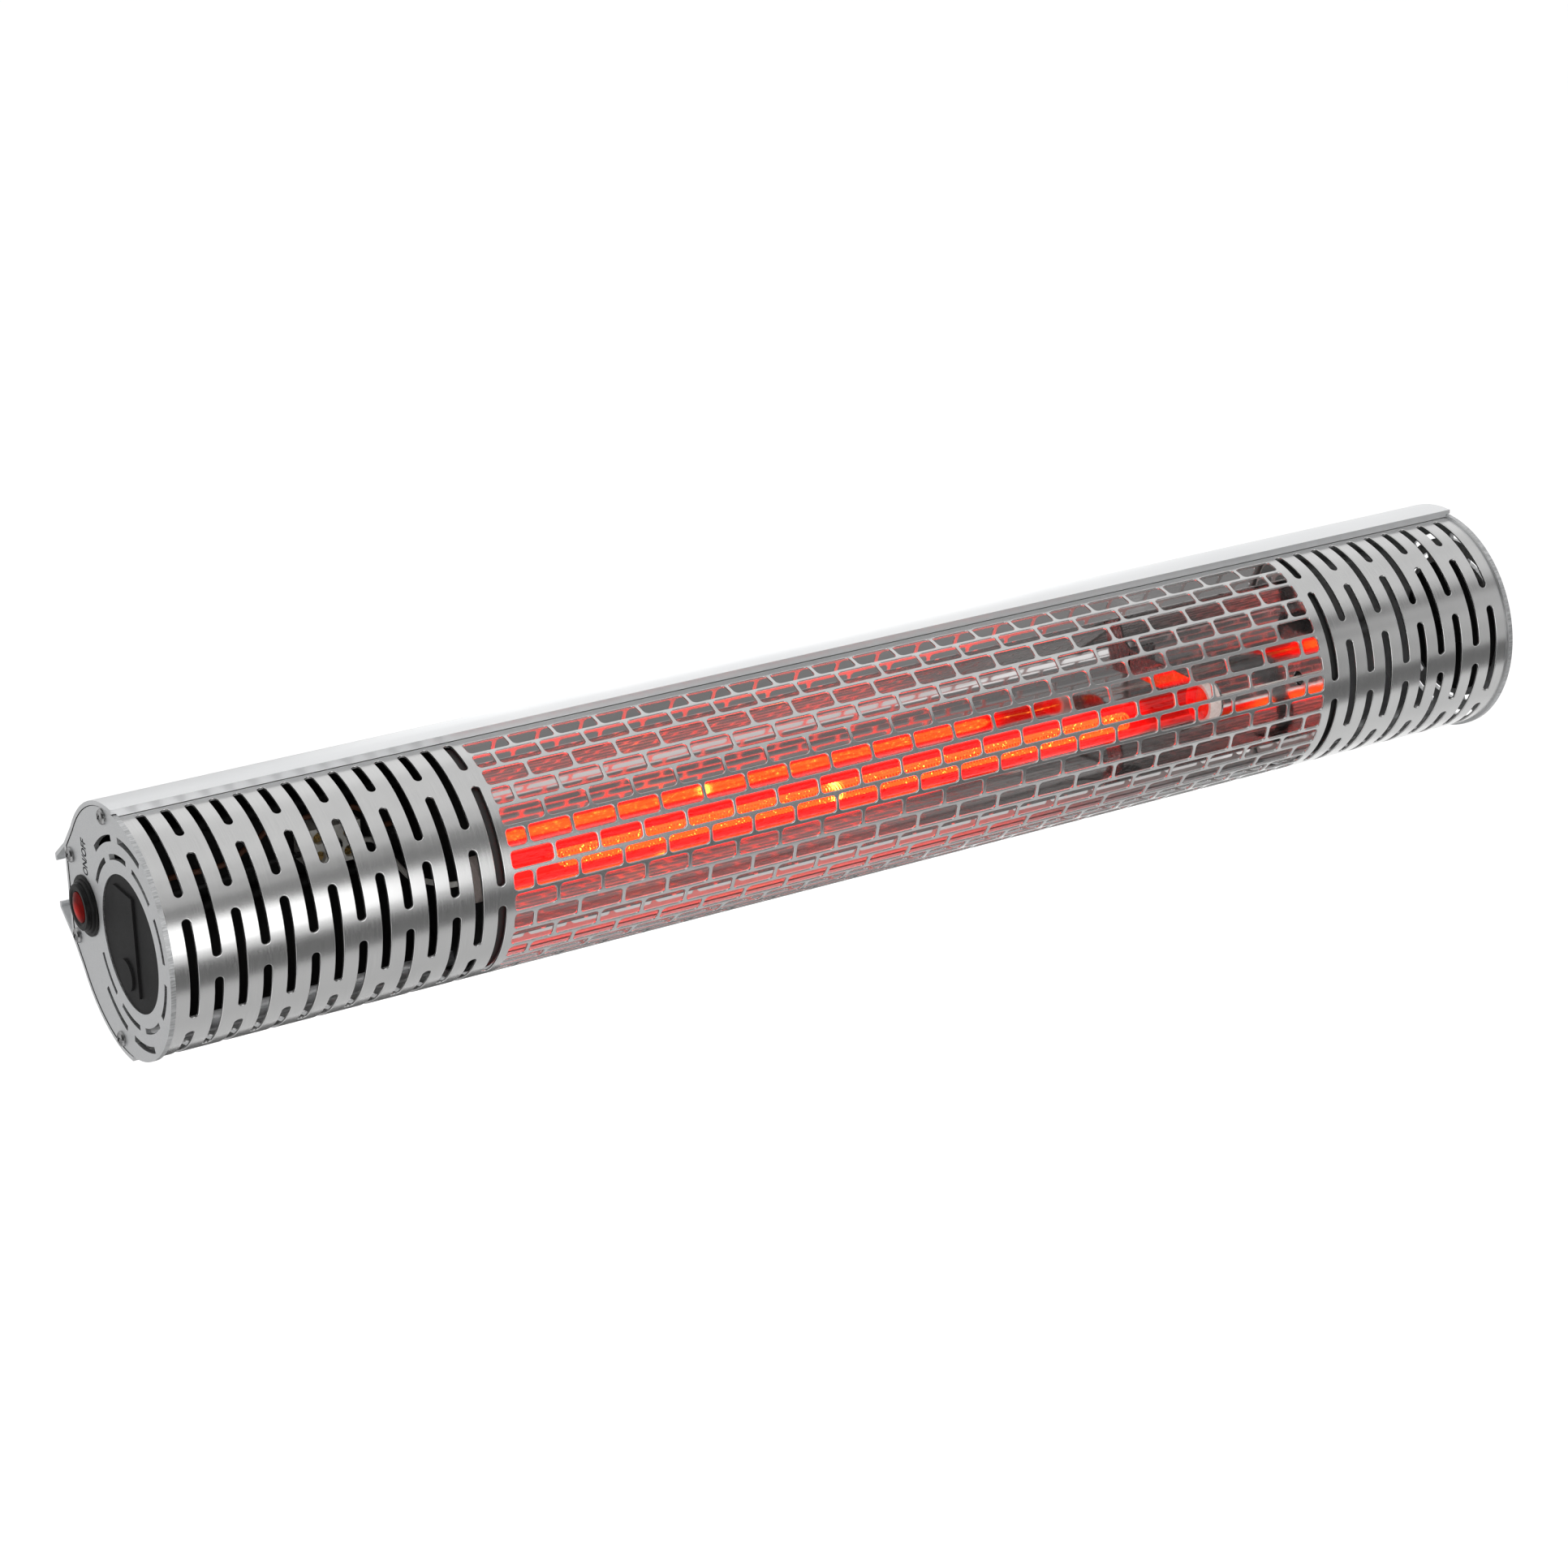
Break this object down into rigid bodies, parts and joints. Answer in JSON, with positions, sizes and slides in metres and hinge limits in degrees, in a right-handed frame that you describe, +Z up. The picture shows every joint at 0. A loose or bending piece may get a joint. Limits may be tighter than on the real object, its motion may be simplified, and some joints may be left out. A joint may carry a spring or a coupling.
{
  "type": "infrared bar heater",
  "caption": "Wall-mounted tubular radiant heater with a ruby lamp, perforated front, push switch and a rear slide channel.",
  "frame": {"origin": "middle of the mouth of the rear mounting channel, half way along the heater", "axes": "+X along the heater towards the cable entry, +Y back towards the wall, +Z up"},
  "size_m": [0.8035, 0.1378, 0.1268],
  "materials": {
    "anodised_silver": "satin anodised",
    "perforated_steel": "brushed stainless sheet",
    "plate_aluminium": "fine matt",
    "zinc_steel": "zinc plated",
    "black_plastic": "fine moulded texture",
    "polished_reflector": "bright rolled",
    "heat_black": "matt heat-resistant black",
    "ruby_glass": "ruby quartz glass",
    "tungsten": "glowing tungsten, emissive",
    "lamp_ceramic": "unglazed",
    "soft_black": "soft moulded boot",
    "red_lens": "translucent red lens",
    "brass": "plain",
    "spring_steel": "drawn wire",
    "terminal_white": "glazed steatite",
    "seal_rubber": "moulded",
    "sleeve_brown": "silicone sleeve",
    "sleeve_black": "silicone sleeve",
    "sleeve_white": "glass-fibre sleeve",
    "sleeve_green": "green and yellow sleeve"
  },
  "bodies": {
    "heater": {"rear_shell": "anodised_silver", "front_grille": "perforated_steel", "left_end_plate": "plate_aluminium", "right_end_plate": "plate_aluminium", "left_plate_screws": "zinc_steel", "right_plate_screws": "zinc_steel", "left_end_cap": "black_plastic", "right_end_cap": "black_plastic", "reflector": "polished_reflector", "left_end_reflector": "polished_reflector", "right_end_reflector": "polished_reflector", "left_bulkhead": "heat_black", "right_bulkhead": "heat_black", "bulkhead_screws": "zinc_steel", "wire_grommets": "seal_rubber", "lamp_glass": "ruby_glass", "lamp_filament": "tungsten", "lamp_base_left": "lamp_ceramic", "lamp_base_right": "lamp_ceramic", "lamp_bracket": "zinc_steel", "bracket_rivets": "zinc_steel", "switch_boot": "soft_black", "switch_body": "black_plastic", "switch_spring": "spring_steel", "switch_nut": "black_plastic", "switch_tabs": "brass", "lamp_terminal": "terminal_white", "lamp_terminal_screws": "brass", "supply_terminal": "terminal_white", "supply_terminal_screws": "brass", "terminal_fixings": "zinc_steel", "earth_screw": "brass", "earth_tag": "zinc_steel", "gland_body": "black_plastic", "gland_seal": "seal_rubber", "gland_cap": "black_plastic", "gland_locknut": "black_plastic", "feed_wire": "sleeve_brown", "switched_wire": "sleeve_black", "lamp_lead_left": "sleeve_white", "lamp_lead_right": "sleeve_white", "earth_wire": "sleeve_green"},
    "button": {"switch_button": "red_lens"}
  },
  "joints": [
    {"name": "switch_press", "type": "slide", "parent": "heater", "child": "button", "axis": [1, 0, 0], "range_m": [0, 0.0025], "stiffness_N_per_m": 600, "springref_m": -0.003, "deforming": ["switch_spring"]}
  ]
}
